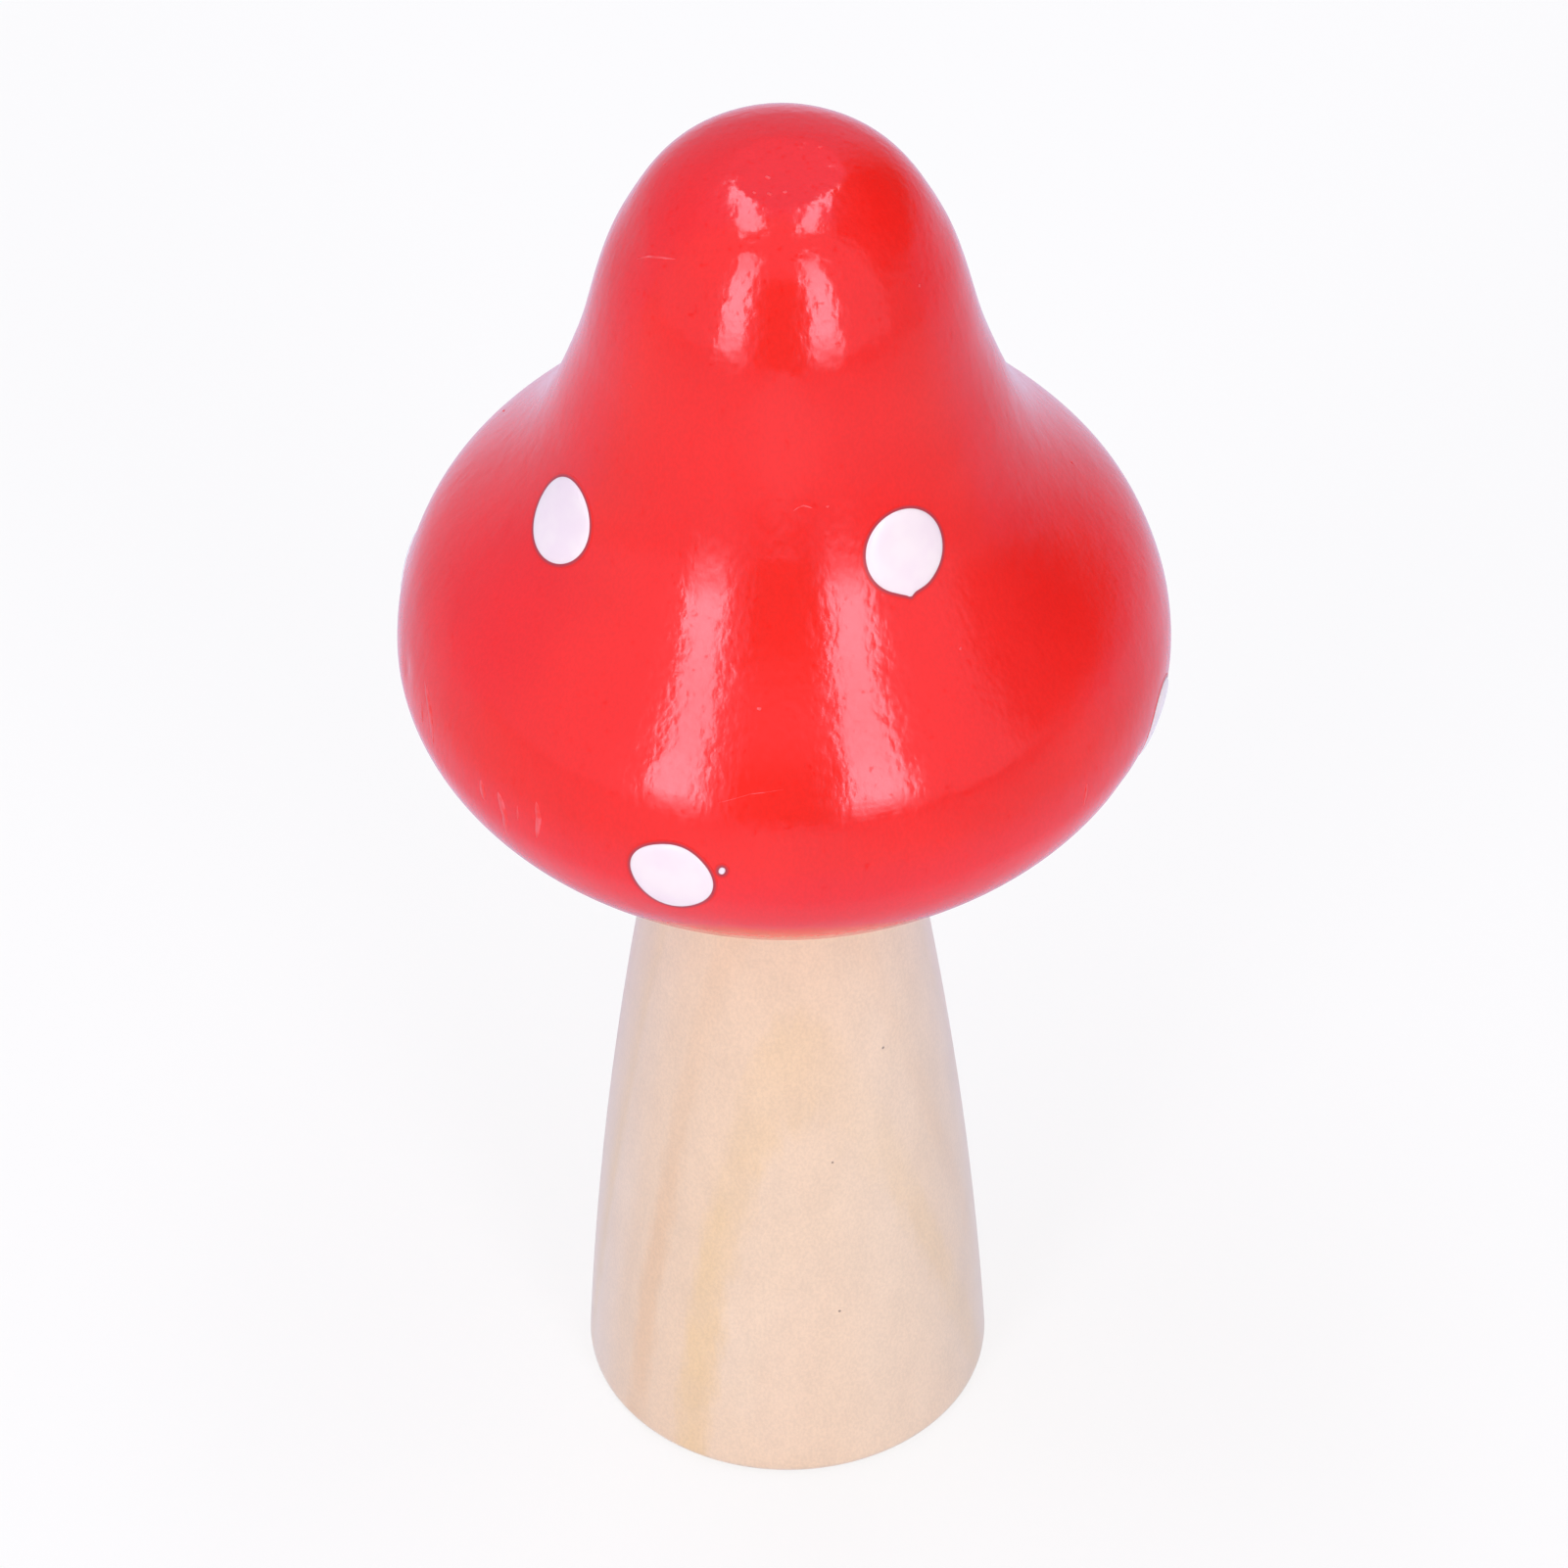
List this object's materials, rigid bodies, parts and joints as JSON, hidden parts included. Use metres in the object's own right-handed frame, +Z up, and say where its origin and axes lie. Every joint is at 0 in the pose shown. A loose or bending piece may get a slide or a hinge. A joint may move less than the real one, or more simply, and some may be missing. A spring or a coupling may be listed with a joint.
{
  "type": "mushroom ornament",
  "caption": "Turned wooden toadstool ornament: a glossy red bell-shaped cap with white paint dots, doweled onto a plain tapered wood stem with a flat foot.",
  "frame": {"origin": "middle of the stem's flat foot, on the turning axis", "axes": "+Z up along the turning axis, towards the top of the cap; -Y is the front, the side the picture shows"},
  "size_m": [0.0473, 0.0472, 0.1],
  "materials": {
    "red_lacquer": "gloss lacquer over turned wood",
    "stem_wood": "sanded pale wood, clear satin",
    "dowel_wood": "bare fluted beech",
    "white_paint": "gloss white paint"
  },
  "bodies": {
    "root": {"cap": "red_lacquer", "stem": "stem_wood", "dowel": "dowel_wood", "dot_upper_right": "white_paint", "dot_upper_left": "white_paint", "dot_upper_back_right": "white_paint", "dot_upper_back_left": "white_paint", "dot_lower_front": "white_paint", "dot_lower_right": "white_paint", "dot_lower_back": "white_paint", "dot_lower_left": "white_paint"}
  },
  "joints": []
}
